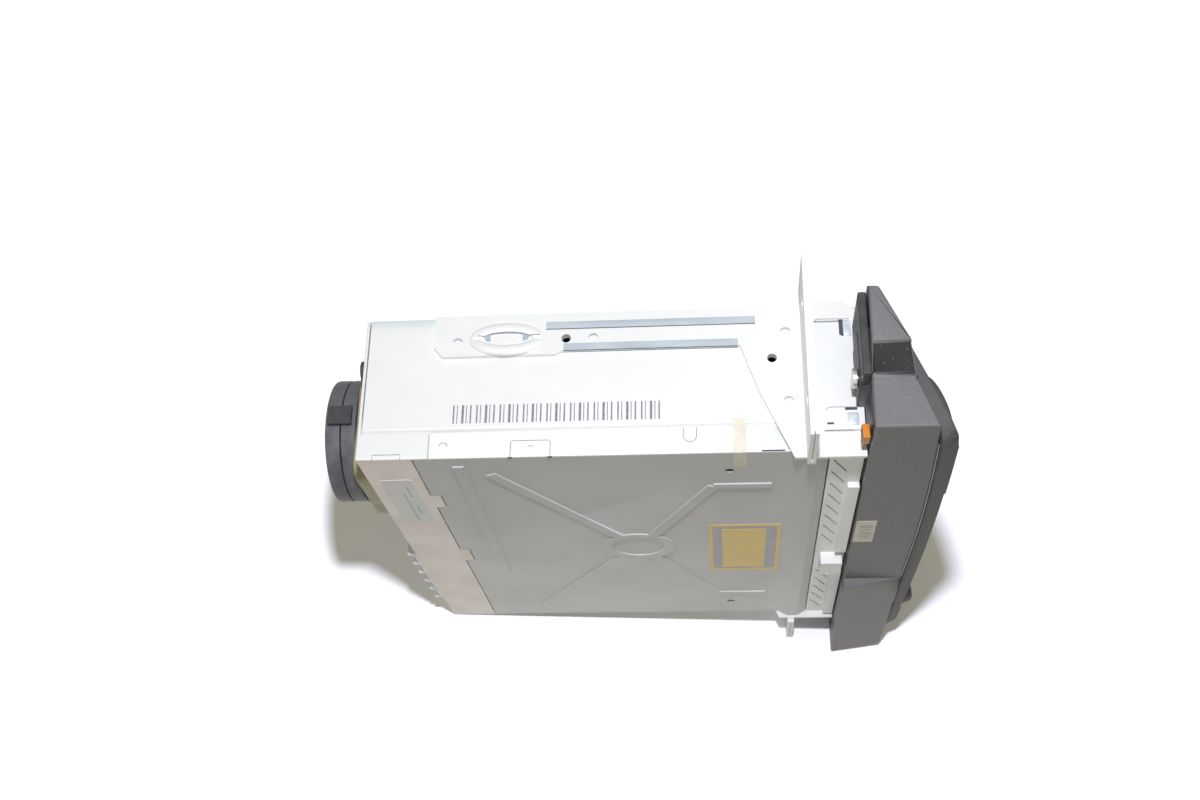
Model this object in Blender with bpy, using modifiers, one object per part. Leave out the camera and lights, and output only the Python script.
"""Car navigation CD radio: a sheet-metal case with a slot-loading drive, a rear blower and a leaning fascia.

Lengths are metres. The case frame has x forward from the rear panel, y down from the top cover (in the car)
and z to the right from the middle plane. The object stands on its left side, so its right side looks up.
The face frame lies on the leaning front: its x points out of the face, its y down the face.
"""
import math

import bpy
import bmesh
from mathutils import Matrix, Vector

for old in list(bpy.data.objects):
    bpy.data.objects.remove(old, do_unlink=True)

# Driving sizes of the case
CASE_DEPTH = 0.150
CASE_HEIGHT = 0.0516
CASE_WIDTH = 0.180
SHEET = 0.0010
COVER_SHEET = 0.0008
GAP = 0.0003
OVERRUN = 0.0010
HALF = CASE_WIDTH / 2
INNER_SIDE = HALF - SHEET
FLOOR_TOP = CASE_HEIGHT - SHEET

# Driving sizes of the front
FRAME_FRONT = 0.166
FASCIA_REAR = 0.1667
FACE_X = 0.1905
FACE_LEAN = math.radians(22.3)
FACE_BOW = 0.0033
BOW_REACH = 0.112
FASCIA_TOP = -0.0020
FASCIA_BOTTOM = 0.0440
FASCIA_WALL = 0.0022
PANEL_BACK = 0.0003
PANEL_FRONT = 0.0055

# Driving sizes of the disc path
DISC_LEVEL = 0.0120
DISC_THICKNESS = 0.0012
HUB_X = 0.075
SLOT_HEIGHT = 0.0054
SLOT_WIDTH = 0.125
DECK_TOP = 0.0240
DECK_SHEET = 0.0010
BOARD_TOP = 0.0450
BOARD_THICKNESS = 0.0016

parts = bpy.data.collections.new("car_navigation_cd_radio")
cutters = bpy.data.collections.new("cutters")
for group in (parts, cutters):
    bpy.context.scene.collection.children.link(group)

case = bpy.data.objects.new("case_frame", None)
case.location = (-CASE_DEPTH / 2, -CASE_HEIGHT, 0)
parts.objects.link(case)
face = bpy.data.objects.new("face_frame", None)
face.parent = case
face.location = (FACE_X, FASCIA_TOP, 0)
face.rotation_euler.z = FACE_LEAN
parts.objects.link(face)


WELD = 0.000001
SMOOTH_ANGLE = math.radians(35)


def finish(name, colour, roughness, metallic=0):
    """Make one part's material."""
    material = bpy.data.materials.new(name)
    material.use_nodes = True
    shader = material.node_tree.nodes["Principled BSDF"]
    shader.inputs["Base Color"].default_value = (*colour, 1)
    shader.inputs["Roughness"].default_value = roughness
    shader.inputs["Metallic"].default_value = metallic
    return material


def box(bm, low, high):
    """Add a box between two corners."""
    size = [b - a for a, b in zip(low, high)]
    middle = [(a + b) / 2 for a, b in zip(low, high)]
    corners = bmesh.ops.create_cube(bm, size=1)["verts"]
    bmesh.ops.scale(bm, vec=size, verts=corners)
    bmesh.ops.translate(bm, vec=middle, verts=corners)
    return corners


def turned_box(bm, low, high, pivot, axis, angle):
    """Add a box and turn it about an axis through a point."""
    corners = box(bm, low, high)
    bmesh.ops.rotate(bm, cent=pivot, matrix=Matrix.Rotation(angle, 3, axis), verts=corners)


def ramp(bm, corners):
    """Add a box with eight free corners, low x first, then low y, then low z."""
    cube = bmesh.ops.create_cube(bm, size=1)["verts"]
    cube.sort(key=lambda corner: (corner.co.x > 0, corner.co.y > 0, corner.co.z > 0))
    for corner, spot in zip(cube, corners):
        corner.co = spot


TURNS = {
    "X": Matrix.Rotation(math.pi / 2, 4, "Y"),
    "Y": Matrix.Rotation(-math.pi / 2, 4, "X"),
    "Z": Matrix.Identity(4),
}


def rod(bm, centre, radius, axis, low, high, sides=24):
    """Add a cylinder along an axis, its centre given in the two other directions."""
    middle = {
        "X": (0, *centre),
        "Y": (centre[0], 0, centre[-1]),
        "Z": (*centre, 0),
    }[axis]
    along = {"X": (1, 0, 0), "Y": (0, 1, 0), "Z": (0, 0, 1)}[axis]
    ring = bmesh.ops.create_cone(
        bm, cap_ends=True, segments=sides, radius1=radius, radius2=radius, depth=high - low)["verts"]
    bmesh.ops.transform(bm, matrix=TURNS[axis], verts=ring)
    bmesh.ops.translate(bm, vec=Vector(middle) + Vector(along) * (low + high) / 2, verts=ring)


CYCLE = {
    "X": Matrix(((0, 0, 1), (1, 0, 0), (0, 1, 0))).to_4x4(),
    "Y": Matrix(((0, 1, 0), (0, 0, 1), (1, 0, 0))).to_4x4(),
    "Z": Matrix.Identity(4),
}


def prism(bm, outline, axis, low, high):
    """Add a flat outline thickened along an axis. Outlines are (y, z), (z, x) or (x, y)."""
    curve = bpy.data.curves.new("outline", "CURVE")
    curve.dimensions = "2D"
    curve.fill_mode = "BOTH"
    curve.extrude = (high - low) / 2
    spline = curve.splines.new("POLY")
    spline.points.add(len(outline) - 1)
    spline.use_cyclic_u = True
    for point, (first, second) in zip(spline.points, outline):
        point.co = (first, second, 0, 1)
    drawn = bpy.data.objects.new("outline", curve)
    bpy.context.scene.collection.objects.link(drawn)
    depsgraph = bpy.context.evaluated_depsgraph_get()
    mesh = bpy.data.meshes.new_from_object(drawn.evaluated_get(depsgraph))
    bpy.data.objects.remove(drawn, do_unlink=True)
    mesh.transform(CYCLE[axis] @ Matrix.Translation((0, 0, (low + high) / 2)))
    flat = bmesh.new()
    flat.from_mesh(mesh)
    bmesh.ops.remove_doubles(flat, verts=flat.verts, dist=WELD)
    bmesh.ops.recalc_face_normals(flat, faces=flat.faces)
    flat.to_mesh(mesh)
    flat.free()
    bm.from_mesh(mesh)


def shape_mesh(name, shapes):
    """Make one mesh of several simple shapes."""
    bm = bmesh.new()
    for add, *values in shapes:
        add(bm, *values)
    mesh = bpy.data.meshes.new(name)
    bm.to_mesh(mesh)
    bm.free()
    return mesh


def place(obj, frame, group):
    """Put an object in a collection and a frame."""
    group.objects.link(obj)
    obj.parent = frame
    return obj


def node(name, material, shapes, frame=case, origin=(0, 0, 0)):
    """Make one sub-part whose own origin is at a given place of its frame."""
    mesh = shape_mesh(name, shapes)
    mesh.transform(Matrix.Translation(-Vector(origin)))
    mesh.materials.append(material)
    mesh.shade_smooth()
    mesh.set_sharp_from_angle(angle=SMOOTH_ANGLE)
    obj = place(bpy.data.objects.new(name, mesh), frame, parts)
    obj.location = origin
    return obj


def tool(name, shapes, frame):
    """Make a hidden solid that cuts or joins."""
    obj = place(bpy.data.objects.new(name, shape_mesh(name, shapes)), frame, cutters)
    obj.hide_render = True
    obj.display_type = "WIRE"
    return obj


def change(obj, operation, other):
    """Add one Boolean modifier."""
    modifier = obj.modifiers.new(operation.lower(), "BOOLEAN")
    modifier.operation = operation
    modifier.solver = "EXACT"
    modifier.object = other


def cut(obj, shapes, frame=case):
    """Cut shapes out of a sub-part."""
    change(obj, "DIFFERENCE", tool(obj.name + "_cut", shapes, frame))


def join(obj, shapes, frame=case):
    """Join shapes to a sub-part."""
    change(obj, "UNION", tool(obj.name + "_join", shapes, frame))


def sheet(name, material, path, axis, low, high, thickness, frame=case):
    """Fold a sheet along a path seen down an axis; the path's right side stays outside."""
    bm = bmesh.new()
    rows = []
    for reach in (low, high):
        rows.append([bm.verts.new(CYCLE[axis] @ Vector((*point, reach))) for point in path])
    for index in range(len(path) - 1):
        bm.faces.new((rows[0][index], rows[0][index + 1], rows[1][index + 1], rows[1][index]))
    mesh = bpy.data.meshes.new(name)
    bm.to_mesh(mesh)
    bm.free()
    mesh.materials.append(material)
    obj = place(bpy.data.objects.new(name, mesh), frame, parts)
    modifier = obj.modifiers.new("sheet", "SOLIDIFY")
    modifier.thickness = thickness
    modifier.offset = -1
    modifier.use_even_offset = True
    return obj


def turned(name, material, profile, axis, origin, frame=case, steps=32):
    """Turn a profile of (radius, height) about an axis through a place of its frame."""
    bm = bmesh.new()
    points = [bm.verts.new((radius, 0, height)) for radius, height in profile]
    for start, end in zip(points, points[1:]):
        bm.edges.new((start, end))
    if profile[0][0] > 0:
        bm.edges.new((points[-1], points[0]))
    mesh = bpy.data.meshes.new(name)
    bm.to_mesh(mesh)
    bm.free()
    mesh.materials.append(material)
    obj = place(bpy.data.objects.new(name, mesh), frame, parts)
    obj.matrix_basis = Matrix.Translation(origin) @ TURNS[axis]
    modifier = obj.modifiers.new("turn", "SCREW")
    modifier.angle = math.tau
    modifier.steps = steps
    modifier.render_steps = steps
    modifier.use_merge_vertices = True
    modifier.merge_threshold = WELD
    return obj


zinc = finish("zinc_plated_steel", (0.80, 0.83, 0.84), 0.35, 0.6)
cover_steel = finish("cover_steel", (0.42, 0.43, 0.43), 0.45, 0.5)
warm_steel = finish("warm_steel", (0.62, 0.56, 0.52), 0.4, 0.5)
alloy = finish("alloy", (0.60, 0.60, 0.62), 0.4, 0.8)
black = finish("black_plastic", (0.02, 0.02, 0.022), 0.5)
slate = finish("slate_plastic", (0.075, 0.075, 0.085), 0.55)
cream = finish("cream_plastic", (0.62, 0.60, 0.36), 0.5)
green = finish("board_green", (0.03, 0.16, 0.07), 0.5)
rubber = finish("rubber", (0.03, 0.03, 0.03), 0.8)
bright = finish("bright_steel", (0.75, 0.75, 0.76), 0.2, 0.9)
orange = finish("orange_plastic", (0.85, 0.32, 0.03), 0.5)

# Chassis tray: floor and two sides, with lips stepped in under the flanges of the cover
TRAY_REAR = SHEET + GAP
LIP_TOP = COVER_SHEET + GAP
LIP_SIDE = HALF - COVER_SHEET - GAP
FLANGE_DEPTH = 0.0093
JOGGLE_START = FLANGE_DEPTH + GAP
JOGGLE_END = JOGGLE_START + SHEET
BOSS_RADIUS = 0.003
BOSS_INSET = 0.014
SIDE_HOLE_RADIUS = 0.0016
FRONT_HOLE = (0.1373, 0.0326)
REAR_HOLE = (0.0690, 0.0420)
DAMPER_XS = (0.030, 0.120)
DAMPER_RADIUS = 0.0026
DAMPER_HEIGHT = 0.0050
DAMPER_INSET = 0.0070
TAB_WIDTH = 0.008
TAB_REACH = 0.0105
DECK_BOTTOM = DECK_TOP + DECK_SHEET
DAMPER_TOP = DECK_BOTTOM + GAP
DAMPER_BOTTOM = DAMPER_TOP + DAMPER_HEIGHT
TAB_TOP = DAMPER_BOTTOM + GAP
BOARD_BOTTOM = BOARD_TOP + BOARD_THICKNESS

right_path = [(LIP_TOP, LIP_SIDE), (JOGGLE_START, LIP_SIDE), (JOGGLE_END, HALF), (CASE_HEIGHT, HALF)]
left_path = [(y, -z) for y, z in right_path]
chassis_tray = sheet(
    "chassis_tray", zinc, left_path + right_path[::-1], "X", TRAY_REAR, CASE_DEPTH, SHEET)
bosses = [
    (rod, (x, z), BOSS_RADIUS, "Y", BOARD_BOTTOM + GAP, CASE_HEIGHT - SHEET / 2)
    for x in (BOSS_INSET, CASE_DEPTH - BOSS_INSET)
    for z in (BOSS_INSET - HALF, HALF - BOSS_INSET)
]
tabs = [
    (box,
     (x - TAB_WIDTH / 2, TAB_TOP, min(side * (HALF - SHEET / 2), side * (HALF - TAB_REACH))),
     (x + TAB_WIDTH / 2, TAB_TOP + SHEET, max(side * (HALF - SHEET / 2), side * (HALF - TAB_REACH))))
    for x in DAMPER_XS
    for side in (-1, 1)
]
join(chassis_tray, bosses + tabs)
side_holes = [
    (rod, spot, SIDE_HOLE_RADIUS, "Z", -HALF - OVERRUN, HALF + OVERRUN, 16)
    for spot in (FRONT_HOLE, REAR_HOLE)
]
cut(chassis_tray, side_holes)

# Top cover: a ribbed plate with side flanges and a raised ridge near the front
STRIP_DEPTH = 0.0185
COVER_REAR = STRIP_DEPTH + GAP
RIDGE_START = 0.1430
RIDGE_LOW = 0.1465
RIDGE_HIGH = 0.1510
COVER_FRONT = 0.1545
RIDGE_HEIGHT = 0.0020
FLANGE_REAR = 0.0243
FLANGE_FRONT = 0.1330
HOOK_DEPTH = 0.0220
HOOK_RANGES = ((0.0450, 0.0560), (-0.0144, -0.0020))
BEAD_WIDTH = 0.0040
BEAD_HEIGHT = 0.0007
BEAD_HUB_X = 0.088
BEAD_HUB_RADIUS = 0.0140
BEAD_HUB_BORE = 0.0100
BEAD_REAR = (0.0427, 0.0760)
BEAD_FRONT = (0.1170, 0.0615)
BEAD_END = 0.1368
LONG_BEAD_X = 0.0330
LONG_BEAD_RANGE = (-0.0277, 0.0834)
COVER_HOLE = (0.1225, 0.0744)
COVER_HOLE_RADIUS = 0.0016

top_cover = sheet(
    "top_cover", cover_steel,
    [(COVER_REAR, 0), (RIDGE_START, 0), (RIDGE_LOW, -RIDGE_HEIGHT), (RIDGE_HIGH, -RIDGE_HEIGHT),
     (COVER_FRONT, 0)],
    "Z", -HALF, HALF, COVER_SHEET)
join(top_cover, [
    (box, (FLANGE_REAR, COVER_SHEET / 2, -HALF), (FLANGE_FRONT, FLANGE_DEPTH, COVER_SHEET - HALF)),
    (box, (FLANGE_REAR, COVER_SHEET / 2, HALF - COVER_SHEET), (FLANGE_FRONT, FLANGE_DEPTH, HALF)),
])


def bead(start, end):
    """A raised bar on the cover between two places given as (x, z)."""
    length = math.dist(start, end)
    heading = math.atan2(-(end[1] - start[1]), end[0] - start[0])
    low = (start[0], -BEAD_HEIGHT, start[1] - BEAD_WIDTH / 2)
    high = (start[0] + length, COVER_SHEET / 2, start[1] + BEAD_WIDTH / 2)
    return (turned_box, low, high, (start[0], 0, start[1]), "Y", heading)


for side in (-1, 1):
    hub_edge = BEAD_HUB_RADIUS - BEAD_WIDTH / 2
    for end in (BEAD_REAR, BEAD_FRONT):
        reach = math.dist(end, (BEAD_HUB_X, 0))
        start = (
            BEAD_HUB_X + (end[0] - BEAD_HUB_X) * hub_edge / reach,
            side * end[1] * hub_edge / reach,
        )
        join(top_cover, [bead(start, (end[0], side * end[1]))])
    join(top_cover, [bead((BEAD_FRONT[0], side * BEAD_FRONT[1]), (BEAD_END, side * BEAD_FRONT[1]))])
join(top_cover, [bead((LONG_BEAD_X, LONG_BEAD_RANGE[0]), (LONG_BEAD_X, LONG_BEAD_RANGE[1]))])
join(top_cover, [(rod, (BEAD_HUB_X, 0), BEAD_HUB_RADIUS, "Y", -BEAD_HEIGHT, COVER_SHEET / 2, 32)])
cut(top_cover, [(rod, (BEAD_HUB_X, 0), BEAD_HUB_BORE, "Y", -BEAD_HEIGHT - OVERRUN, 0, 32)])
cut(top_cover, [
    (box, (COVER_REAR - OVERRUN, -OVERRUN, low - GAP), (HOOK_DEPTH + GAP, COVER_SHEET + OVERRUN, high + GAP))
    for low, high in HOOK_RANGES
] + [
    (rod, (COVER_HOLE[0], side * COVER_HOLE[1]), COVER_HOLE_RADIUS, "Y", -OVERRUN, COVER_SHEET + OVERRUN, 16)
    for side in (-1, 1)
])
for side in (-1, 1):
    low, high = sorted((side * (HALF - COVER_SHEET - GAP), side * (HALF + OVERRUN)))
    cut(top_cover, [(box, (COVER_REAR - OVERRUN, -OVERRUN, low), (FLANGE_REAR, COVER_SHEET + OVERRUN, high))])

# Rear panel: wall, top strip with two hooks, and side flanges
SIDE_FLANGE_DEPTH = 0.0240
BLOWER_LEVEL = 0.0260
BLOWER_SIDE = 0.0460
VENT_RADIUS = 0.0160
CONNECTOR_SIDE = 0.0060
CONNECTOR_WIDTH = 0.0240
CONNECTOR_TOP = 0.0140
CONNECTOR_DEPTH = 0.0130
ANTENNA_LEVEL = 0.0370
ANTENNA_SIDES = {"radio_antenna_socket": 0.0810, "gps_antenna_socket": -0.0790}
ANTENNA_BARREL_RADIUS = 0.0034
ANTENNA_BODY = 0.0080
ANTENNA_OUT = 0.0028
ANTENNA_IN = 0.0120
ANTENNA_BORE_RADIUS = 0.0016
ANTENNA_BORE_DEPTH = 0.0060

rear_panel = node("rear_panel", warm_steel, [(box, (0, 0, -HALF), (SIDE_FLANGE_DEPTH, CASE_HEIGHT, HALF))])
cut(rear_panel, [
    (box, (SHEET, COVER_SHEET, COVER_SHEET - HALF),
     (SIDE_FLANGE_DEPTH + OVERRUN, FLANGE_DEPTH, HALF - COVER_SHEET)),
])
cut(rear_panel, [
    (box, (SHEET, FLANGE_DEPTH, -HALF - OVERRUN),
     (SIDE_FLANGE_DEPTH + OVERRUN, CASE_HEIGHT + OVERRUN, HALF + OVERRUN)),
])
edges = [-HALF - OVERRUN, *(z for low, high in sorted(HOOK_RANGES) for z in (low, high)), HALF + OVERRUN]
cut(rear_panel, [
    (box, (STRIP_DEPTH, -OVERRUN, max(low, COVER_SHEET - HALF)),
     (SIDE_FLANGE_DEPTH + OVERRUN, COVER_SHEET + OVERRUN, min(high, HALF - COVER_SHEET)))
    for low, high in zip(edges[0::2], edges[1::2])
])
cut(rear_panel, [
    (box, (HOOK_DEPTH, -OVERRUN, low - OVERRUN),
     (SIDE_FLANGE_DEPTH + OVERRUN, COVER_SHEET + OVERRUN, high + OVERRUN))
    for low, high in HOOK_RANGES
])
cut(rear_panel, [
    (rod, (BLOWER_LEVEL, BLOWER_SIDE), VENT_RADIUS, "X", -OVERRUN, SHEET + OVERRUN, 32),
    (box, (-OVERRUN, CONNECTOR_TOP - GAP, CONNECTOR_SIDE - CONNECTOR_WIDTH / 2 - GAP),
     (SHEET + OVERRUN, BOARD_TOP, CONNECTOR_SIDE + CONNECTOR_WIDTH / 2 + GAP)),
    *((rod, (ANTENNA_LEVEL, side), ANTENNA_BARREL_RADIUS + GAP, "X", -OVERRUN, SHEET + OVERRUN)
      for side in ANTENNA_SIDES.values()),
])

# Heat sink on the rear panel
SINK_BASE = 0.0015
SINK_FIN_REACH = 0.0043
SINK_FIN_THICKNESS = 0.0018
SINK_SIDES = (-0.0680, -0.0100)
SINK_TOP = 0.0010
SINK_BOTTOM = 0.0480
SINK_FIN_COUNT = 6
heat_sink = node("heat_sink", alloy, [
    (box, (-GAP - SINK_BASE, SINK_TOP, SINK_SIDES[0]), (-GAP, SINK_BOTTOM, SINK_SIDES[1]))])
fin_pitch = (SINK_SIDES[1] - SINK_SIDES[0] - SINK_FIN_THICKNESS) / (SINK_FIN_COUNT - 1)
join(heat_sink, [
    (box, (-SINK_FIN_REACH, SINK_TOP, SINK_SIDES[0] + index * fin_pitch),
     (-GAP - SINK_BASE / 2, SINK_BOTTOM, SINK_SIDES[0] + index * fin_pitch + SINK_FIN_THICKNESS))
    for index in range(SINK_FIN_COUNT)
])

# Main connector: a recessed housing with two rows of pins
CONNECTOR_WALL = 0.0020
CONNECTOR_SOCKET_DEPTH = 0.0100
CONNECTOR_PIN = 0.0010
CONNECTOR_PIN_LENGTH = 0.0040
CONNECTOR_PIN_ROWS = 6
CONNECTOR_MOUTH = -0.0005
connector_low = CONNECTOR_SIDE - CONNECTOR_WIDTH / 2
connector_high = CONNECTOR_SIDE + CONNECTOR_WIDTH / 2
connector_bottom = BOARD_TOP - GAP
main_connector = node("main_connector", black, [
    (box, (CONNECTOR_MOUTH, CONNECTOR_TOP, connector_low),
     (CONNECTOR_DEPTH, connector_bottom, connector_high))])
cut(main_connector, [
    (box, (CONNECTOR_MOUTH - OVERRUN, CONNECTOR_TOP + CONNECTOR_WALL, connector_low + CONNECTOR_WALL),
     (CONNECTOR_MOUTH + CONNECTOR_SOCKET_DEPTH,
      connector_bottom - CONNECTOR_WALL, connector_high - CONNECTOR_WALL))])
pin_step = (connector_bottom - CONNECTOR_TOP - CONNECTOR_WALL * 2) / CONNECTOR_PIN_ROWS
pins = []
for row in range(CONNECTOR_PIN_ROWS):
    for column in (-1, 1):
        level = CONNECTOR_TOP + CONNECTOR_WALL + (row + 0.5) * pin_step
        across = CONNECTOR_SIDE + column * CONNECTOR_WIDTH / 5
        pins.append((
            box,
            (CONNECTOR_MOUTH + CONNECTOR_SOCKET_DEPTH - CONNECTOR_PIN_LENGTH,
             level - CONNECTOR_PIN / 2, across - CONNECTOR_PIN / 2),
            ((CONNECTOR_MOUTH + CONNECTOR_SOCKET_DEPTH + CONNECTOR_DEPTH) / 2,
             level + CONNECTOR_PIN / 2, across + CONNECTOR_PIN / 2)))
join(main_connector, pins)

# Antenna sockets: a barrel through the rear panel on a block that stands on the board
for name, side in ANTENNA_SIDES.items():
    socket = node(name, black, [
        (box, (TRAY_REAR, ANTENNA_LEVEL - ANTENNA_BODY / 2, side - ANTENNA_BODY / 2),
         (ANTENNA_IN, BOARD_TOP - GAP, side + ANTENNA_BODY / 2))])
    join(socket, [(rod, (ANTENNA_LEVEL, side), ANTENNA_BARREL_RADIUS, "X", -ANTENNA_OUT, ANTENNA_IN / 2)])
    cut(socket, [(rod, (ANTENNA_LEVEL, side), ANTENNA_BORE_RADIUS, "X",
                  -ANTENNA_OUT - OVERRUN, ANTENNA_BORE_DEPTH - ANTENNA_OUT, 16)])

# Rear blower: a cream mount, two housing halves, a latch finger, a motor and an impeller
MOUNT_DEPTH = 0.0068
MOUNT_RADIUS = 0.0220
MOUNT_CORNER = 0.0060
BLOWER_RADIUS = 0.0220
BLOWER_WALL = 0.0015
BLOWER_HALF_DEPTH = 0.0053
IMPELLER_RADIUS = 0.0190
IMPELLER_HUB_RADIUS = 0.0090
IMPELLER_CAP = 0.0010
MOTOR_RADIUS = 0.0070
MOTOR_CLEARANCE = 0.0006
SHAFT_RADIUS = 0.0010
BLADE_COUNT = 9
BLADE_THICKNESS = 0.0008
INTAKE_COUNT = 8
INTAKE_RADIUS = 0.0031
INTAKE_RING = 0.0135
FINGER_WIDTH = 0.0070
FINGER_THICKNESS = 0.0016
FINGER_INSET = 0.0012
mount_rear = -GAP - MOUNT_DEPTH
front_half_front = mount_rear - GAP
seam = front_half_front - BLOWER_HALF_DEPTH
rear_half_front = seam - GAP
rear_half_rear = rear_half_front - BLOWER_HALF_DEPTH
blower_axis = (0, BLOWER_LEVEL, BLOWER_SIDE)


def rounded(low, high, radius, steps=5):
    """A rectangle's outline with round corners."""
    outline = []
    for corner in range(4):
        centre = (
            high[0] - radius if corner in (0, 3) else low[0] + radius,
            high[1] - radius if corner in (0, 1) else low[1] + radius,
        )
        for step in range(steps + 1):
            angle = (corner + step / steps) * math.pi / 2
            outline.append((centre[0] + radius * math.cos(angle), centre[1] + radius * math.sin(angle)))
    return outline


blower_mount = node("blower_mount", cream, [(prism, rounded(
    (BLOWER_LEVEL - MOUNT_RADIUS, BLOWER_SIDE - MOUNT_RADIUS),
    (BLOWER_LEVEL + MOUNT_RADIUS, BLOWER_SIDE + MOUNT_RADIUS), MOUNT_CORNER), "X", mount_rear, -GAP)])
cut(blower_mount, [
    (rod, (BLOWER_LEVEL, BLOWER_SIDE), VENT_RADIUS, "X", mount_rear - OVERRUN, OVERRUN, 32)])
turned("blower_front_half", black, [
    (VENT_RADIUS, front_half_front),
    (BLOWER_RADIUS, front_half_front),
    (BLOWER_RADIUS, seam),
    (BLOWER_RADIUS - BLOWER_WALL, seam),
    (BLOWER_RADIUS - BLOWER_WALL, front_half_front - BLOWER_WALL),
    (VENT_RADIUS, front_half_front - BLOWER_WALL),
], "X", blower_axis, steps=40)
blower_rear_half = turned("blower_rear_half", black, [
    (0, rear_half_rear + BLOWER_WALL),
    (BLOWER_RADIUS - BLOWER_WALL, rear_half_rear + BLOWER_WALL),
    (BLOWER_RADIUS - BLOWER_WALL, rear_half_front),
    (BLOWER_RADIUS, rear_half_front),
    (BLOWER_RADIUS, rear_half_rear),
    (0, rear_half_rear),
], "X", blower_axis, steps=40)
cut(blower_rear_half, [
    (rod,
     (BLOWER_LEVEL + INTAKE_RING * math.cos(math.tau * index / INTAKE_COUNT),
      BLOWER_SIDE + INTAKE_RING * math.sin(math.tau * index / INTAKE_COUNT)),
     INTAKE_RADIUS, "X", rear_half_rear - OVERRUN, rear_half_rear + BLOWER_WALL + OVERRUN, 16)
    for index in range(INTAKE_COUNT)
])
finger_foot = BLOWER_SIDE + BLOWER_RADIUS + GAP
node("blower_latch", black, [
    (box, (rear_half_rear + FINGER_INSET, BLOWER_LEVEL - FINGER_WIDTH / 2, finger_foot),
     (front_half_front - FINGER_INSET, BLOWER_LEVEL + FINGER_WIDTH / 2, finger_foot + FINGER_THICKNESS))])
motor_foot = rear_half_rear + BLOWER_WALL + GAP
impeller_top = front_half_front - BLOWER_WALL - MOTOR_CLEARANCE
motor_tip = impeller_top - IMPELLER_CAP - GAP
motor_face = motor_tip - GAP
turned("blower_motor", alloy, [
    (0, motor_tip),
    (SHAFT_RADIUS, motor_tip),
    (SHAFT_RADIUS, motor_face),
    (MOTOR_RADIUS, motor_face),
    (MOTOR_RADIUS, motor_foot),
    (0, motor_foot),
], "X", blower_axis, steps=24)
impeller = turned("impeller", black, [
    (0, impeller_top),
    (IMPELLER_HUB_RADIUS, impeller_top),
    (IMPELLER_HUB_RADIUS, motor_foot + MOTOR_CLEARANCE),
    (MOTOR_RADIUS + MOTOR_CLEARANCE, motor_foot + MOTOR_CLEARANCE),
    (MOTOR_RADIUS + MOTOR_CLEARANCE, impeller_top - IMPELLER_CAP),
    (0, impeller_top - IMPELLER_CAP),
], "X", blower_axis, steps=24)
blade_root = IMPELLER_HUB_RADIUS - (IMPELLER_HUB_RADIUS - MOTOR_RADIUS - MOTOR_CLEARANCE) / 2
join(impeller, [
    (turned_box,
     (motor_foot + MOTOR_CLEARANCE * 2, BLOWER_LEVEL + blade_root, BLOWER_SIDE - BLADE_THICKNESS / 2),
     (impeller_top - MOTOR_CLEARANCE / 2, BLOWER_LEVEL + IMPELLER_RADIUS, BLOWER_SIDE + BLADE_THICKNESS / 2),
     blower_axis, "X", math.tau * index / BLADE_COUNT)
    for index in range(BLADE_COUNT)
])

# Main board and what stands on it
BOARD_INSET = 0.0030
AMPLIFIER = (0.0050, 0.0200, 0.0300)
AMPLIFIER_SIDE = -0.0390
MODULE = (0.0500, 0.0060, 0.0600)
MODULE_REAR = 0.0400
board_rear = TRAY_REAR + GAP + SHEET
board_front = CASE_DEPTH - BOARD_INSET
board_side = INNER_SIDE - BOARD_INSET
node("main_board", green, [
    (box, (board_rear, BOARD_TOP, -board_side), (board_front, BOARD_BOTTOM, board_side))])
node("amplifier_chip", black, [
    (box, (SHEET + GAP, BOARD_TOP - GAP - AMPLIFIER[1], AMPLIFIER_SIDE - AMPLIFIER[2] / 2),
     (SHEET + GAP + AMPLIFIER[0], BOARD_TOP - GAP, AMPLIFIER_SIDE + AMPLIFIER[2] / 2))])
node("navigation_module", bright, [
    (box, (MODULE_REAR, BOARD_TOP - GAP - MODULE[1], -MODULE[2] / 2),
     (MODULE_REAR + MODULE[0], BOARD_TOP - GAP, MODULE[2] / 2))])

# Drive deck on four dampers, with lugs for the rods, the screw, the roller and the clamp arm
DECK_REAR = 0.0070
DECK_FRONT = 0.1495
DECK_SIDE = 0.0850
ROD_RADIUS = 0.0015
ROD_LEVEL = 0.0205
ROD_XS = (0.058, 0.092)
SCREW_X = 0.100
SCREW_RADIUS = 0.0012
LUG_WIDTH = 0.0060
LUG_THICKNESS = 0.0030
LUG_RISE = 0.0030
LUG_SIDES = (0.0155, 0.0735)
SLED_MOTOR_RADIUS = 0.0032
PIVOT_X = 0.0140
ARM_LEVEL = 0.0063
ARM_SHEET = 0.0010
PIVOT_RADIUS = 0.0015
PIVOT_SIDE = 0.0215
ROLLER_X = 0.1450
ROLLER_RADIUS = 0.0030
ROLLER_LEVEL = 0.0177
ROLLER_HALF_LENGTH = 0.0680
ROLLER_SHAFT_RADIUS = 0.0012
ROLLER_LUG_SPACE = 0.0055
ROLLER_LUG_SIDE = ROLLER_HALF_LENGTH + ROLLER_LUG_SPACE
LOADING_MOTOR_RADIUS = 0.0036
pivot_level = ARM_LEVEL + ARM_SHEET / 2
drive_deck = node("drive_deck", zinc, [
    (box, (DECK_REAR, DECK_TOP, -DECK_SIDE), (DECK_FRONT, DECK_BOTTOM, DECK_SIDE))])


def lug(x, level, side, thickness):
    """An upright lug on the deck that carries a rod at a level."""
    return (box, (x - LUG_WIDTH / 2, level - LUG_RISE, side - thickness / 2),
            (x + LUG_WIDTH / 2, DECK_TOP + DECK_SHEET / 2, side + thickness / 2))


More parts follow.
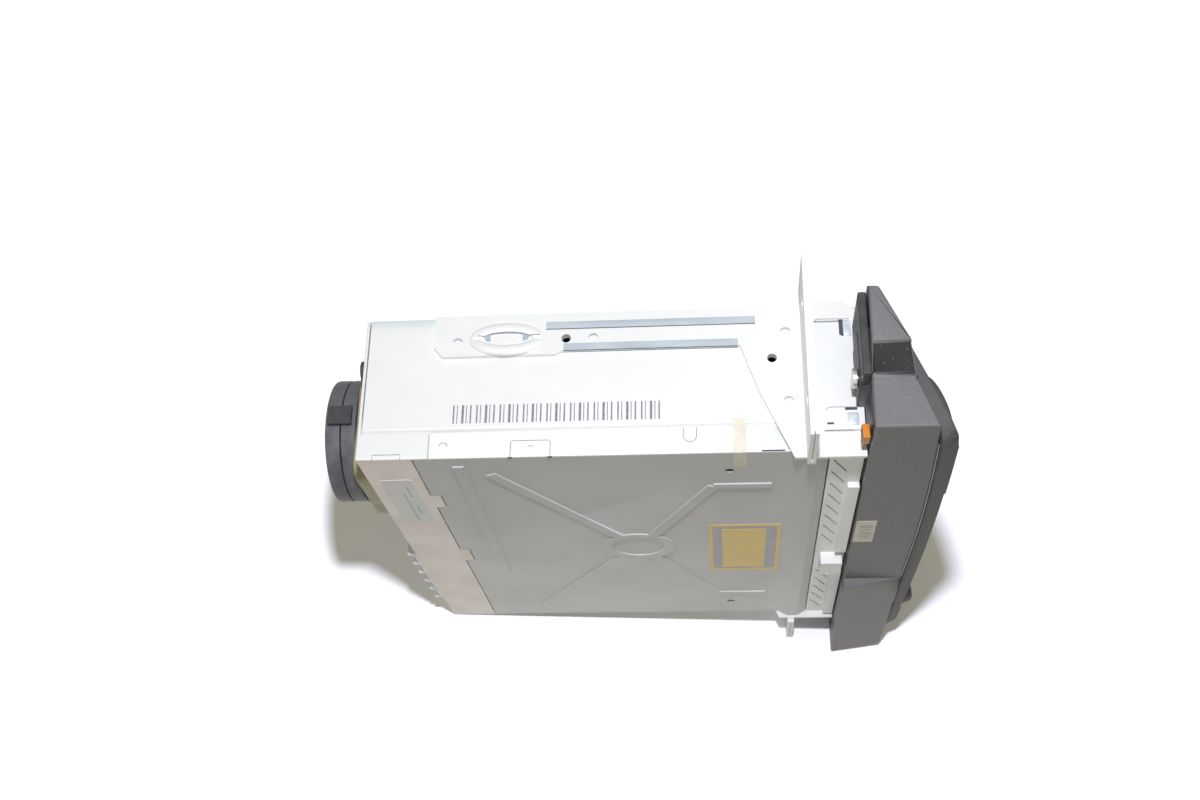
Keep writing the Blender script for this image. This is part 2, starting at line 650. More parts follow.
join(drive_deck, [
    *(lug(x, ROD_LEVEL, side, LUG_THICKNESS) for x in ROD_XS for side in LUG_SIDES),
    *(lug(SCREW_X, ROD_LEVEL, side, LUG_THICKNESS / 2) for side in LUG_SIDES),
    *(lug(PIVOT_X, pivot_level, side * PIVOT_SIDE, LUG_THICKNESS) for side in (-1, 1)),
    *(lug(ROLLER_X, ROLLER_LEVEL, side * ROLLER_LUG_SIDE, LUG_THICKNESS / 2) for side in (-1, 1)),
])
bore_low = LUG_SIDES[0] - LUG_THICKNESS
bore_high = LUG_SIDES[1] + LUG_THICKNESS
cut(drive_deck, [
    (box, (DECK_REAR - OVERRUN, DECK_TOP - OVERRUN, connector_low - GAP),
     (CONNECTOR_DEPTH + GAP, DECK_BOTTOM + OVERRUN, connector_high + GAP))])
cut(drive_deck, [
    *((rod, (x, ROD_LEVEL), ROD_RADIUS + GAP, "Z", bore_low, bore_high) for x in ROD_XS),
    (rod, (SCREW_X, ROD_LEVEL), SCREW_RADIUS + GAP, "Z", bore_low, bore_high),
    (rod, (PIVOT_X, pivot_level), PIVOT_RADIUS + GAP, "Z",
     -PIVOT_SIDE - LUG_THICKNESS, PIVOT_SIDE + LUG_THICKNESS),
    (rod, (ROLLER_X, ROLLER_LEVEL), ROLLER_SHAFT_RADIUS + GAP, "Z",
     -ROLLER_LUG_SIDE - LUG_THICKNESS, ROLLER_LUG_SIDE + LUG_THICKNESS),
])
damper_places = [(x, side * (INNER_SIDE - DAMPER_INSET)) for x in DAMPER_XS for side in (-1, 1)]
for index, spot in enumerate(damper_places):
    node(f"damper_{index + 1}", rubber, [(rod, spot, DAMPER_RADIUS, "Y", DAMPER_TOP, DAMPER_BOTTOM)])

# Spindle motor, turntable, clamp arm and clamp puck
SPINDLE_MOTOR_RADIUS = 0.0120
SPINDLE_MOTOR_TOP = 0.0170
SPINDLE_SHAFT_TOP = 0.0138
TURNTABLE_RADIUS = 0.0140
TURNTABLE_HEIGHT = 0.0036
CENTRING_RADIUS = 0.0072
CENTRING_RISE = 0.0019
PUCK_RADIUS = 0.0130
PUCK_THICKNESS = 0.0030
PUCK_NECK_RADIUS = 0.0031
PUCK_HEAD_RADIUS = 0.0050
PUCK_HEAD_THICKNESS = 0.0014
ARM_ROOT_WIDTH = 0.0280
ARM_TIP_WIDTH = 0.0160
ARM_TIP_X = 0.0830
hub_spot = (HUB_X, 0, 0)
deck_seat = DECK_TOP - GAP
disc_bottom = DISC_LEVEL + DISC_THICKNESS / 2
table_top = disc_bottom + GAP
table_bottom = table_top + TURNTABLE_HEIGHT
# Heights along these turned pieces count downwards, so a profile's top is its lowest level in the car
turned("spindle_motor", alloy, [
    (0, deck_seat),
    (SPINDLE_MOTOR_RADIUS, deck_seat),
    (SPINDLE_MOTOR_RADIUS, SPINDLE_MOTOR_TOP),
    (SHAFT_RADIUS, SPINDLE_MOTOR_TOP),
    (SHAFT_RADIUS, SPINDLE_SHAFT_TOP),
    (0, SPINDLE_SHAFT_TOP),
], "Y", hub_spot, steps=24)
turned("turntable", black, [
    (0, SPINDLE_SHAFT_TOP - GAP),
    (SHAFT_RADIUS + GAP, SPINDLE_SHAFT_TOP - GAP),
    (SHAFT_RADIUS + GAP, table_bottom),
    (TURNTABLE_RADIUS, table_bottom),
    (TURNTABLE_RADIUS, table_top),
    (CENTRING_RADIUS, table_top),
    (CENTRING_RADIUS - CENTRING_RISE / 3, table_top - CENTRING_RISE),
    (0, table_top - CENTRING_RISE),
], "Y", hub_spot)
puck_bottom = table_top - CENTRING_RISE - GAP
puck_top = puck_bottom - PUCK_THICKNESS
turned("clamp_puck", cream, [
    (0, puck_bottom),
    (PUCK_RADIUS, puck_bottom),
    (PUCK_RADIUS, puck_top),
    (PUCK_NECK_RADIUS, puck_top),
    (PUCK_NECK_RADIUS, ARM_LEVEL - GAP),
    (PUCK_HEAD_RADIUS, ARM_LEVEL - GAP),
    (PUCK_HEAD_RADIUS, ARM_LEVEL - GAP - PUCK_HEAD_THICKNESS),
    (0, ARM_LEVEL - GAP - PUCK_HEAD_THICKNESS),
], "Y", hub_spot)
clamp_arm = node("clamp_arm", zinc, [(prism, [
    (-ARM_ROOT_WIDTH / 2, PIVOT_X),
    (ARM_ROOT_WIDTH / 2, PIVOT_X),
    (ARM_TIP_WIDTH / 2, ARM_TIP_X),
    (-ARM_TIP_WIDTH / 2, ARM_TIP_X),
], "Y", ARM_LEVEL, ARM_LEVEL + ARM_SHEET)], origin=(PIVOT_X, pivot_level, 0))
join(clamp_arm, [(rod, (PIVOT_X, pivot_level), PIVOT_RADIUS, "Z",
                  -PIVOT_SIDE - LUG_THICKNESS / 2, PIVOT_SIDE + LUG_THICKNESS / 2)])
cut(clamp_arm, [(rod, (HUB_X, 0), PUCK_NECK_RADIUS + GAP * 2, "Y",
                 ARM_LEVEL - OVERRUN, ARM_LEVEL + ARM_SHEET + OVERRUN)])

# Laser sled with its rods, screw and motor
SLED_TOP = 0.0175
SLED_INNER = 0.0200
SLED_LENGTH = 0.0160
SLED_MARGIN = 0.0040
LENS_RADIUS = 0.0030
LENS_RISE = 0.0022
screw_low = LUG_SIDES[0] - LUG_THICKNESS / 2
screw_high = LUG_SIDES[1] + LUG_THICKNESS / 2
for name, x in zip(("guide_rod_rear", "guide_rod_front"), ROD_XS):
    node(name, bright, [(rod, (x, ROD_LEVEL), ROD_RADIUS, "Z", screw_low, screw_high)])
node("lead_screw", bright, [
    (rod, (SCREW_X, ROD_LEVEL), SCREW_RADIUS, "Z", screw_low, screw_high)], origin=(SCREW_X, ROD_LEVEL, 0))
node("sled_motor", alloy, [
    (rod, (SCREW_X, ROD_LEVEL), SLED_MOTOR_RADIUS, "Z", screw_high + GAP, DECK_SIDE)])
laser_sled = node("laser_sled", black, [
    (box, (ROD_XS[0] - SLED_MARGIN, SLED_TOP, SLED_INNER),
     (SCREW_X + SLED_MARGIN, deck_seat, SLED_INNER + SLED_LENGTH))], origin=(HUB_X, ROD_LEVEL, SLED_INNER))
join(laser_sled, [
    (rod, (HUB_X, SLED_INNER + SLED_LENGTH / 2), LENS_RADIUS, "Y", SLED_TOP - LENS_RISE, ROD_LEVEL)])
cut(laser_sled, [
    *((rod, (x, ROD_LEVEL), ROD_RADIUS + GAP, "Z", SLED_INNER - OVERRUN, SLED_INNER + SLED_LENGTH + OVERRUN)
      for x in ROD_XS),
    (rod, (SCREW_X, ROD_LEVEL), SCREW_RADIUS + GAP, "Z",
     SLED_INNER - OVERRUN, SLED_INNER + SLED_LENGTH + OVERRUN),
])

# Loading roller, its motor and the guide above the disc
GUIDE_XS = (0.1360, 0.1410, 0.1500)
GUIDE_TOP = 0.0060
GUIDE_BOTTOM = 0.0088
GUIDE_SIDE = 0.0840
GUIDE_LEG = 0.0030
roller_end = ROLLER_LUG_SIDE + LUG_THICKNESS / 2
roller = node("loading_roller", rubber, [
    (rod, (ROLLER_X, ROLLER_LEVEL), ROLLER_RADIUS, "Z", -ROLLER_HALF_LENGTH, ROLLER_HALF_LENGTH)
], origin=(ROLLER_X, ROLLER_LEVEL, 0))
join(roller, [(rod, (ROLLER_X, ROLLER_LEVEL), ROLLER_SHAFT_RADIUS, "Z", -roller_end, roller_end)])
node("loading_motor", alloy, [
    (rod, (ROLLER_X, ROLLER_LEVEL), LOADING_MOTOR_RADIUS, "Z", roller_end + GAP, DECK_SIDE)])
disc_guide = node("disc_guide", black, [
    (box, (GUIDE_XS[0], GUIDE_TOP, -GUIDE_SIDE), (GUIDE_XS[2], GUIDE_BOTTOM, GUIDE_SIDE))])
join(disc_guide, [
    (box, (GUIDE_XS[0], GUIDE_TOP + OVERRUN, min(side * GUIDE_SIDE, side * (GUIDE_SIDE - GUIDE_LEG))),
     (GUIDE_XS[1], deck_seat, max(side * GUIDE_SIDE, side * (GUIDE_SIDE - GUIDE_LEG))))
    for side in (-1, 1)
])

# Front frame: a cap on the case with a comb of spring slits, two rails and a lanced clip
FRAME_REAR = CASE_DEPTH + GAP
COMB_REAR = COVER_FRONT + GAP
COMB_INSET = 0.0014
COMB_PITCH = 0.0104
COMB_FIRST = 0.0820
COMB_COUNT = 16
SLIT_LENGTH = 0.0116
SLIT_WIDTH = 0.0005
SLIT_ANGLE = math.radians(65)
RAIL_DEPTH = 0.0040
RAIL_HEIGHT = 0.0020
RAIL_RANGES = ((-0.0060, 0.0620), (-0.0880, -0.0300))
CLIP_XS = (0.1568, 0.1650)
CLIP_HEIGHT = 0.0048
CLIP_RANGE = (-0.0245, -0.0110)
FRAME_SLOT_MARGIN = 0.0008
FLEX_RANGE = (0.0100, 0.0340)
FLEX_LEVEL = 0.0380
slot_top = DISC_LEVEL - SLOT_HEIGHT / 2
slot_bottom = DISC_LEVEL + SLOT_HEIGHT / 2
front_frame = node("front_frame", zinc, [(box, (FRAME_REAR, 0, -HALF), (FRAME_FRONT, CASE_HEIGHT, HALF))])
cut(front_frame, [
    (box, (FRAME_REAR - OVERRUN, SHEET, -INNER_SIDE), (FRAME_FRONT - SHEET, FLOOR_TOP, INNER_SIDE))])
cut(front_frame, [
    (box, (FRAME_REAR - OVERRUN, -OVERRUN, -HALF - OVERRUN), (COMB_REAR, LIP_TOP, HALF + OVERRUN))])
join(front_frame, [
    *((box, (FRAME_FRONT - RAIL_DEPTH, -RAIL_HEIGHT, low), (FRAME_FRONT, SHEET / 2, high))
      for low, high in RAIL_RANGES),
    (box, (CLIP_XS[0], -CLIP_HEIGHT, CLIP_RANGE[0]), (CLIP_XS[1], SHEET / 2, CLIP_RANGE[1])),
])
cut(front_frame, [
    (box, (CLIP_XS[0] + COVER_SHEET, COVER_SHEET - CLIP_HEIGHT, CLIP_RANGE[0] - OVERRUN),
     (CLIP_XS[1] - COVER_SHEET, -GAP, CLIP_RANGE[1] - COVER_SHEET)),
    (box, (FRAME_FRONT - SHEET - OVERRUN, slot_top - FRAME_SLOT_MARGIN, -SLOT_WIDTH / 2 - FRAME_SLOT_MARGIN),
     (FRAME_FRONT + OVERRUN, slot_bottom + FRAME_SLOT_MARGIN, SLOT_WIDTH / 2 + FRAME_SLOT_MARGIN)),
    (box, (FRAME_FRONT - SHEET - OVERRUN, FLEX_LEVEL - OVERRUN, FLEX_RANGE[0] - OVERRUN),
     (FRAME_FRONT + OVERRUN, FLEX_LEVEL + OVERRUN * 2, FLEX_RANGE[1] + OVERRUN)),
])
slit_reach = SLIT_LENGTH * math.sin(SLIT_ANGLE)
slit_places = [COMB_FIRST - index * COMB_PITCH for index in range(COMB_COUNT)]
cut(front_frame, [
    (turned_box, (COMB_REAR + COMB_INSET, -OVERRUN / 2, start - SLIT_WIDTH / 2),
     (COMB_REAR + COMB_INSET + SLIT_LENGTH, SHEET + OVERRUN / 2, start + SLIT_WIDTH / 2),
     (COMB_REAR + COMB_INSET, 0, start), "Y", SLIT_ANGLE)
    for start in slit_places
    if start < CLIP_RANGE[0] - SLIT_WIDTH or start - slit_reach > CLIP_RANGE[1] + SLIT_WIDTH
])

# Side brackets: a plate with a long rearward arm and an upright ear with two holes
BRACKET_SHEET = 0.0015
BRACKET_SHARES = (
    (1.0000, -0.0562), (1.0000, 0.9419), (0.9873, 0.9787), (0.9741, 1.0291), (0.9096, 1.0291),
    (0.9036, 1.0000), (0.1458, 1.0000), (0.1458, 0.7694), (0.1639, 0.7035), (0.3940, 0.7035),
    (0.4102, 0.7306), (0.7651, 0.7326), (0.8012, 0.3895), (0.8633, -0.0562),
)
EAR_X = 0.1470
EAR_THICKNESS = 0.0027
EAR_FOLD_GAP = 0.0004
EAR_FOLD_DEPTH = 0.0010
EAR_TOP = -0.0050
EAR_BOTTOM = 0.0580
EAR_REACH = 0.0250
EAR_HOLE_RADIUS = 0.00275
EAR_HOLE_LEVELS = (0.0100, 0.0440)
EAR_HOLE_OUT = 0.0180
GROOVES = ((0.0625, 0.1319, 0.0460), (0.0685, 0.1260, 0.0378))
GROOVE_WIDTH = 0.0020
GROOVE_DEPTH = 0.0009
GROOVE_FAR_DEPTH = 0.0002
TONGUE_PLACES = ((0.1510, 0.0400), (0.1530, 0.0006))
TONGUE_SLIT = (0.0118, 0.0006)
TONGUE_WINDOW = (0.0026, 0.0058)


def bracket(name, side):
    """One side bracket; side is 1 for the right and -1 for the left."""
    inner = HALF + GAP
    outer = inner + BRACKET_SHEET

    def span(low, high):
        """Order two heights above the middle plane on this side."""
        return sorted((side * low, side * high))

    plate = [(FRAME_FRONT * x, CASE_HEIGHT * y) for x, y in BRACKET_SHARES]
    piece = node(name, zinc, [(prism, plate, "Z", *span(inner, outer))])
    low, high = span(inner + BRACKET_SHEET / 2, HALF + EAR_REACH)
    ear_front = EAR_X + EAR_THICKNESS
    fold = (EAR_X + ear_front - EAR_FOLD_GAP) / 2
    join(piece, [(box, (EAR_X, EAR_TOP, low), (ear_front, EAR_BOTTOM, high))])
    cut(piece, [
        (rod, (level, side * (HALF + EAR_HOLE_OUT)), EAR_HOLE_RADIUS, "X",
         EAR_X - OVERRUN, ear_front + OVERRUN)
        for level in EAR_HOLE_LEVELS
    ])
    low, high = span(outer + BRACKET_SHEET, HALF + EAR_REACH + OVERRUN)
    cut(piece, [
        (box, (fold, EAR_TOP - OVERRUN, low), (fold + EAR_FOLD_GAP, EAR_TOP + EAR_FOLD_DEPTH, high))])
    for groove_rear, groove_front, level in GROOVES:
        shallow = side * (outer - GROOVE_FAR_DEPTH)
        deep = side * (outer - GROOVE_DEPTH)
        clear = side * (outer + OVERRUN)
        cut(piece, [(prism, [
            (level, deep), (level + GROOVE_WIDTH, shallow), (level + GROOVE_WIDTH, clear), (level, clear),
        ], "X", groove_rear, groove_front)])
    low, high = span(inner - GAP / 2, outer + OVERRUN)
    windows = []
    for x, y in TONGUE_PLACES:
        end = x + TONGUE_SLIT[0]
        windows.append((box, (end - TONGUE_WINDOW[0], y, low), (end, y + TONGUE_WINDOW[1], high)))
        windows.append((
            box, (x, y + TONGUE_WINDOW[1] - TONGUE_SLIT[1], low),
            (end - TONGUE_WINDOW[0] / 2, y + TONGUE_WINDOW[1], high)))
    for window in windows:
        cut(piece, [window])
    cut(piece, [(rod, spot, SIDE_HOLE_RADIUS, "Z", low, high, 16) for spot in (FRONT_HOLE, REAR_HOLE)])


bracket("right_bracket", 1)
bracket("left_bracket", -1)

# Fascia shell: stepped near end, flared far end, bowed and leaning front
NEAR_SIDE = 0.1120
STEP_DEPTH = 0.0065
WIDE_SIDE = NEAR_SIDE + STEP_DEPTH
STEP_TOP = 0.0160
STEP_BOTTOM = 0.0240
FLARE_START = 0.0385
FLARE_RISE = 0.0040
FLARE_SLOPE_SHARE = 0.063
FLARE_STOCK = 0.0140
FLARE_MARGIN = 0.0060
PANEL_INSET = 0.0060
PANEL_SIDE = NEAR_SIDE - PANEL_INSET
PANEL_TOP = -0.0015
PANEL_BOTTOM = 0.0465
PANEL_CORNER = 0.0080
CHEEK_CLEARANCE = 0.0004
CHEEK_LINE = (
    (0.1809, 0.0150), (0.1789, 0.0238), (0.1785, 0.0256), (0.1703, 0.0440),
)
WASTE_REACH = 0.0500
FACE_ABOVE = 0.0300
FACE_BELOW = 0.0800
ARC_STEPS = 20
KNOB_INSET = 0.0140
KNOB_SIDE = PANEL_SIDE - KNOB_INSET
KNOB_LEVEL = 0.0151
ROW_LEVEL = 0.0330
EJECT_INSET = 0.0353
EJECT_SIDE = PANEL_SIDE - EJECT_INSET
EJECT_WIDTH = 0.0080
CAP_HEIGHT = 0.0080
CAP_WIDTH = 0.0145
CAP_PITCH = 0.0180
CAP_BACK = 0.0013
CAP_PROUD = 0.0008
CAP_CLEARANCE = 0.0004
MODE_INSET = 0.0240
MODE_SIDE = PANEL_SIDE - MODE_INSET
ROCKER_WIDTH = 0.0300
STEM_RADIUS = 0.0015
STEM_CLEARANCE = 0.0007
STEM_END = -0.0051
SHAFT_SIZE = 0.0030
SHAFT_CLEARANCE = 0.0006
SWITCH_BOARD_FACE = -0.0060
SWITCH_BOARD_TOP = 0.0062
SWITCH_BOARD_BOTTOM = 0.0360
SWITCH_BOARD_INSET = 0.0120
SWITCH_BOARD_SIDE = NEAR_SIDE - SWITCH_BOARD_INSET
POST_RADIUS = 0.0020
POST_PLACES = ((0.0095, 0.0775), (0.0095, -0.0775), (0.0330, 0.0970), (0.0330, -0.0970))


def bow(z):
    """How far the bowed face lies behind its middle at a distance along it."""
    return FACE_BOW * (z / BOW_REACH) ** 2


def face_waste(offset, reach):
    """Everything in front of (or, with a negative reach, behind) the bowed face moved out by an offset."""
    width = WIDE_SIDE + FLARE_STOCK
    outline = []
    for index in range(ARC_STEPS + 1):
        z = width * (2 * index / ARC_STEPS - 1)
        outline.append((z, offset - bow(z)))
    outline += [(width, reach), (-width, reach)]
    return (prism, outline, "Y", -FACE_ABOVE, FACE_BELOW)


fascia_shell = node("fascia_shell", slate, [(prism, [
    (FASCIA_TOP, NEAR_SIDE),
    (STEP_TOP, NEAR_SIDE),
    (STEP_BOTTOM, WIDE_SIDE),
    (FASCIA_BOTTOM, WIDE_SIDE),
    (FASCIA_BOTTOM, -WIDE_SIDE),
    (-FLARE_STOCK, -WIDE_SIDE),
    (-FLARE_STOCK, -FLARE_START),
    (FASCIA_TOP, -FLARE_START),
], "X", FASCIA_REAR, FACE_X + FLARE_STOCK)])


def flare_height(x, z):
    """Level of the flare's slanted top."""
    rise = FLARE_RISE * (FACE_X - x) / (FACE_X - FASCIA_REAR)
    return FASCIA_TOP - rise - FLARE_SLOPE_SHARE * (-z - FLARE_START)


flare_corners = []
for x in (FASCIA_REAR - OVERRUN, FACE_X + FLARE_MARGIN):
    for level in (-FLARE_STOCK * 2, None):
        for z in (-WIDE_SIDE - OVERRUN, -FLARE_START):
            flare_corners.append((x, flare_height(x, z) if level is None else level, z))
cut(fascia_shell, [(ramp, flare_corners)])
cut(fascia_shell, [face_waste(0, WASTE_REACH)], face)
cheek_inner = PANEL_SIDE + CHEEK_CLEARANCE
cheek = tool("fascia_cheek", [(prism, [
    (FASCIA_REAR, CHEEK_LINE[0][1]), *CHEEK_LINE, (FASCIA_REAR, CHEEK_LINE[-1][1]),
], "Z", cheek_inner, WIDE_SIDE)], case)
change(cheek, "DIFFERENCE", tool("cheek_step", [(prism, [
    (FASCIA_TOP, NEAR_SIDE),
    (STEP_TOP, NEAR_SIDE),
    (STEP_BOTTOM, WIDE_SIDE),
    (STEP_BOTTOM, WIDE_SIDE + OVERRUN),
    (FASCIA_TOP, WIDE_SIDE + OVERRUN),
], "X", FASCIA_REAR - OVERRUN, FACE_X)], case))
change(fascia_shell, "UNION", cheek)
hollow = tool("fascia_hollow", [(prism, [
    (FASCIA_TOP + FASCIA_WALL, NEAR_SIDE - FASCIA_WALL),
    (STEP_TOP + FASCIA_WALL / 2, NEAR_SIDE - FASCIA_WALL),
    (STEP_BOTTOM + FASCIA_WALL / 2, WIDE_SIDE - FASCIA_WALL),
    (FASCIA_BOTTOM - FASCIA_WALL, WIDE_SIDE - FASCIA_WALL),
    (FASCIA_BOTTOM - FASCIA_WALL, FASCIA_WALL - WIDE_SIDE),
    (FASCIA_TOP + FASCIA_WALL, FASCIA_WALL - WIDE_SIDE),
], "X", FASCIA_REAR - OVERRUN, FACE_X)], case)
change(hollow, "DIFFERENCE", tool("fascia_hollow_front", [face_waste(-FASCIA_WALL, WASTE_REACH)], face))
change(fascia_shell, "DIFFERENCE", hollow)
join(fascia_shell, [
    (rod, spot, POST_RADIUS, "X", SWITCH_BOARD_FACE + GAP, -FASCIA_WALL / 2 - bow(spot[1]), 16)
    for spot in POST_PLACES
], face)
slot_box = (
    box, (FASCIA_REAR + OVERRUN * 2, slot_top, -SLOT_WIDTH / 2),
    (FACE_X + FLARE_STOCK, slot_bottom, SLOT_WIDTH / 2))
cut(fascia_shell, [slot_box])

# Front panel on the fascia
front_panel = node("front_panel", slate, [
    (prism, rounded((PANEL_TOP, -PANEL_SIDE), (PANEL_BOTTOM, PANEL_SIDE), PANEL_CORNER),
     "X", -FLARE_STOCK, FLARE_STOCK)], face)
cut(front_panel, [face_waste(PANEL_FRONT, WASTE_REACH)], face)
cut(front_panel, [face_waste(PANEL_BACK, -WASTE_REACH)], face)
cut(front_panel, [slot_box])

# Push buttons: a cap in the panel, with a stem through the fascia to the switch board
buttons = {f"preset_{index + 1}": (ROW_LEVEL, side * CAP_PITCH, CAP_WIDTH)
           for index, side in enumerate((-3.5, -2.5, -1.5, 1.5, 2.5, 3.5))}
buttons["mode_button"] = (ROW_LEVEL, -MODE_SIDE, CAP_WIDTH)
buttons["band_button"] = (ROW_LEVEL, MODE_SIDE, CAP_WIDTH)
buttons["eject_button"] = (KNOB_LEVEL, EJECT_SIDE, EJECT_WIDTH)
panel_windows = []
stem_holes = []
for name, (level, side, width) in buttons.items():
    back = CAP_BACK - bow(side)
    front = PANEL_FRONT + CAP_PROUD - bow(side)
    cap = node(name, black, [
        (box, (back, level - CAP_HEIGHT / 2, side - width / 2),
         (front, level + CAP_HEIGHT / 2, side + width / 2))
    ], face, (0, level, side))
    join(cap, [(rod, (level, side), STEM_RADIUS, "X", STEM_END, (back + front) / 2, 12)], face)
    panel_windows.append((
        box,
        (-FLARE_STOCK, level - CAP_HEIGHT / 2 - CAP_CLEARANCE, side - width / 2 - CAP_CLEARANCE),
        (FLARE_STOCK, level + CAP_HEIGHT / 2 + CAP_CLEARANCE, side + width / 2 + CAP_CLEARANCE)))
    stem_holes.append((rod, (level, side), STEM_RADIUS + STEM_CLEARANCE, "X",
                       -FASCIA_WALL - bow(side) - OVERRUN, OVERRUN, 12))

# Seek rocker: a wide cap that tilts on two short pins in the panel
ROCKER_PIVOT = 0.0026
ROCKER_PIN_RADIUS = 0.0009
ROCKER_PIN_REACH = 0.0014
rocker = node("seek_rocker", black, [
    (box, (CAP_BACK, ROW_LEVEL - CAP_HEIGHT / 2, -ROCKER_WIDTH / 2),
     (PANEL_FRONT + CAP_PROUD, ROW_LEVEL + CAP_HEIGHT / 2, ROCKER_WIDTH / 2))
], face, (ROCKER_PIVOT, ROW_LEVEL, 0))
pin_reach = CAP_HEIGHT / 2 + ROCKER_PIN_REACH
join(rocker, [
    (rod, (ROCKER_PIVOT, 0), ROCKER_PIN_RADIUS, "Y", ROW_LEVEL - pin_reach, ROW_LEVEL + pin_reach, 16)], face)
panel_windows.append((
    box,
    (-FLARE_STOCK, ROW_LEVEL - CAP_HEIGHT / 2 - CAP_CLEARANCE, -ROCKER_WIDTH / 2 - CAP_CLEARANCE),
    (FLARE_STOCK, ROW_LEVEL + CAP_HEIGHT / 2 + CAP_CLEARANCE, ROCKER_WIDTH / 2 + CAP_CLEARANCE)))
cut(front_panel, [(rod, (ROCKER_PIVOT, 0), ROCKER_PIN_RADIUS + GAP, "Y",
                   ROW_LEVEL - pin_reach - GAP, ROW_LEVEL + pin_reach + GAP, 16)], face)

# Switch board behind the fascia, with the disc slot and two shaft holes
switch_board = node("switch_board", green, [
    (box, (SWITCH_BOARD_FACE - BOARD_THICKNESS, SWITCH_BOARD_TOP, -SWITCH_BOARD_SIDE),
     (SWITCH_BOARD_FACE, SWITCH_BOARD_BOTTOM, SWITCH_BOARD_SIDE))], face)
cut(switch_board, [
    (box, (FASCIA_REAR, slot_top - GAP, -SLOT_WIDTH / 2 - GAP),
     (FACE_X + FLARE_STOCK, slot_bottom + GAP, SLOT_WIDTH / 2 + GAP))])
cut(switch_board, [
    (rod, (KNOB_LEVEL, side * KNOB_SIDE), SHAFT_SIZE + SHAFT_CLEARANCE, "X", -FLARE_STOCK, 0)
    for side in (-1, 1)
], face)

# Two knobs: the volume knob turns on a shaft that pushes in, the tuning knob turns with its own shaft
KNOB_RADIUS = 0.0125
KNOB_REACH = 0.0150
TUNE_RADIUS = 0.0112
TUNE_FRONT = 0.0047
TUNE_CLEARANCE = 0.0005
KNOB_LIFT = 0.0020
KNOB_EDGE = 0.0008
KNOB_SKIN = 0.0020
SHAFT_END = -0.0069
ENCODER_SIZE = 0.0120
ENCODER_DEPTH = 0.0061
knob_front = KNOB_REACH - bow(KNOB_SIDE)
knob_back = PANEL_FRONT + KNOB_LIFT - bow(KNOB_SIDE)
rim = [
    (0, knob_front),
    (KNOB_RADIUS - KNOB_EDGE, knob_front),
    (KNOB_RADIUS, knob_front - KNOB_EDGE),
    (KNOB_RADIUS, knob_back),
]
turned("volume_knob", black, rim + [
    (SHAFT_SIZE + GAP, knob_back),
    (SHAFT_SIZE + GAP, knob_front - KNOB_SKIN),
    (0, knob_front - KNOB_SKIN),
], "X", (0, KNOB_LEVEL, -KNOB_SIDE), face)
node("volume_shaft", bright, [
    (rod, (KNOB_LEVEL, -KNOB_SIDE), SHAFT_SIZE, "X", SHAFT_END, knob_front - KNOB_SKIN - GAP)
], face, (0, KNOB_LEVEL, -KNOB_SIDE))
tune_back = GAP * 2 - bow(KNOB_SIDE - TUNE_RADIUS)
turned("tune_knob", black, [
    (0, TUNE_FRONT),
    (TUNE_RADIUS - KNOB_EDGE, TUNE_FRONT),
    (TUNE_RADIUS, TUNE_FRONT - KNOB_EDGE),
    (TUNE_RADIUS, tune_back),
    (SHAFT_SIZE, tune_back),
    (SHAFT_SIZE, SHAFT_END),
    (0, SHAFT_END),
], "X", (0, KNOB_LEVEL, KNOB_SIDE), face)
encoder_front = SWITCH_BOARD_FACE - BOARD_THICKNESS - GAP
for name, side in (("volume_encoder", -KNOB_SIDE), ("tune_encoder", KNOB_SIDE)):
    node(name, alloy, [
        (box, (encoder_front - ENCODER_DEPTH, KNOB_LEVEL - ENCODER_SIZE / 2, side - ENCODER_SIZE / 2),
         (encoder_front, KNOB_LEVEL + ENCODER_SIZE / 2, side + ENCODER_SIZE / 2))], face)
shaft_holes = [
    (rod, (KNOB_LEVEL, side * KNOB_SIDE), SHAFT_SIZE + SHAFT_CLEARANCE, "X", -FLARE_STOCK / 2, FLARE_STOCK)
    for side in (-1, 1)
]
tune_pocket = (rod, (KNOB_LEVEL, KNOB_SIDE), TUNE_RADIUS + TUNE_CLEARANCE, "X", -FLARE_STOCK, FLARE_STOCK)
cut(front_panel, panel_windows + shaft_holes + [tune_pocket], face)
cut(fascia_shell, stem_holes + shaft_holes, face)

# Carrier frame behind the fascia, with its end blocks, screws and lock tab
CARRIER_REAR = FRAME_FRONT + GAP
CARRIER_FRONT = 0.1688
CARRIER_BOTTOM = 0.0340
BLOCK_REAR = 0.1635
BLOCK_INSET = 0.0198
BLOCK_INNER = NEAR_SIDE - BLOCK_INSET
BLOCK_REACH = 0.0040
BLOCK_OUTER = NEAR_SIDE + BLOCK_REACH
BLOCK_TOP = 0.0140
BLOCK_BOTTOM = 0.0430
NECK_INSET = 0.0040
NECK_OUTER = NEAR_SIDE - NECK_INSET
SCREW_LEVEL = 0.0190
SCREW_INSET = 0.0090
SCREW_SIDE = NEAR_SIDE - SCREW_INSET
SCREW_HEAD_RADIUS = 0.0032
SCREW_HEAD_HEIGHT = 0.0016
SCREW_SHANK_RADIUS = 0.0014
SCREW_LENGTH = 0.0085
LOCK_REAR = 0.1636
LOCK_LEVELS = (-0.0018, 0.0030)
LOCK_SIDES = (0.0985, 0.1040)
cavity_top = FASCIA_TOP + FASCIA_WALL + GAP
cavity_side = NEAR_SIDE - FASCIA_WALL - GAP
block_front = FASCIA_REAR - GAP
carrier_frame = node("carrier_frame", black, [
    (box, (CARRIER_REAR, cavity_top, -cavity_side), (CARRIER_FRONT, CARRIER_BOTTOM, cavity_side))])
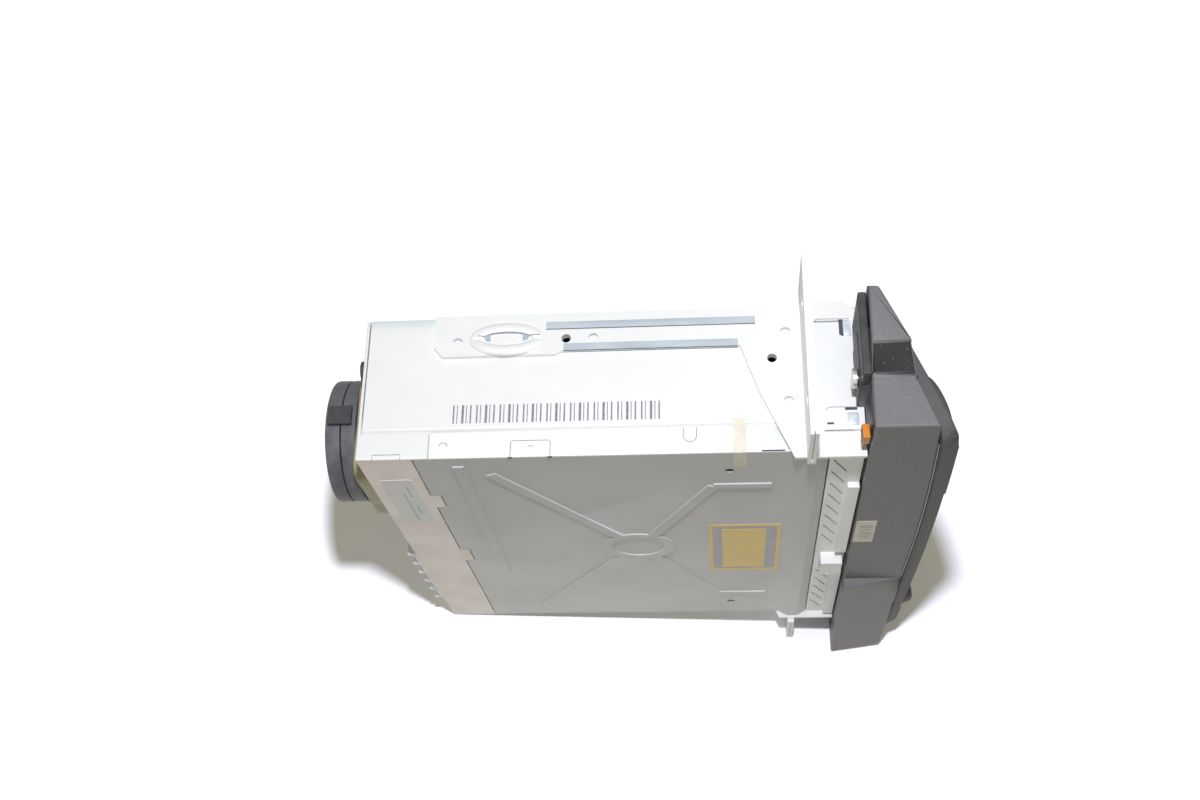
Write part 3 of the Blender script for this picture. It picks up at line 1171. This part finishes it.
for side in (-1, 1):
    low, high = sorted((side * BLOCK_INNER, side * NECK_OUTER))
    join(carrier_frame, [
        (box, (BLOCK_REAR, BLOCK_TOP, low),
         ((CARRIER_REAR + CARRIER_FRONT) / 2, CARRIER_BOTTOM - OVERRUN, high))])
    low, high = sorted((side * (BLOCK_INNER + OVERRUN), side * BLOCK_OUTER))
    join(carrier_frame, [(box, (BLOCK_REAR + GAP, BLOCK_TOP + GAP, low), (block_front, BLOCK_BOTTOM, high))])
cut(carrier_frame, [
    (box, (CARRIER_REAR - OVERRUN, slot_top - FRAME_SLOT_MARGIN, -SLOT_WIDTH / 2 - FRAME_SLOT_MARGIN),
     (CARRIER_FRONT + OVERRUN, slot_bottom + FRAME_SLOT_MARGIN, SLOT_WIDTH / 2 + FRAME_SLOT_MARGIN)),
    *((rod, (SCREW_LEVEL, side * SCREW_SIDE), SCREW_SHANK_RADIUS + GAP, "X",
       BLOCK_REAR - OVERRUN, CARRIER_FRONT + OVERRUN, 16) for side in (-1, 1)),
])
for name, side in (("fascia_screw_right", 1), ("fascia_screw_left", -1)):
    head_front = BLOCK_REAR - GAP
    turned(name, bright, [
        (0, head_front + SCREW_LENGTH),
        (SCREW_SHANK_RADIUS, head_front + SCREW_LENGTH),
        (SCREW_SHANK_RADIUS, head_front),
        (SCREW_HEAD_RADIUS, head_front),
        (SCREW_HEAD_RADIUS, head_front - SCREW_HEAD_HEIGHT),
        (0, head_front - SCREW_HEAD_HEIGHT),
    ], "X", (0, SCREW_LEVEL, side * SCREW_SIDE), steps=16)
node("lock_tab", orange, [
    (box, (LOCK_REAR, LOCK_LEVELS[0], LOCK_SIDES[0]),
     (CARRIER_REAR - GAP, LOCK_LEVELS[1], LOCK_SIDES[1]))])

# Flat cable from the main board to the switch board
FLEX_SHEET = 0.0003
FLEX_POINTS = ((0.1400, 0.0444), (0.1580, 0.0444), (0.1620, 0.0380), (0.1692, 0.0380), (0.1700, 0.0304))
sheet("front_flex", cream, FLEX_POINTS, "Z", FLEX_RANGE[0], FLEX_RANGE[1], FLEX_SHEET)
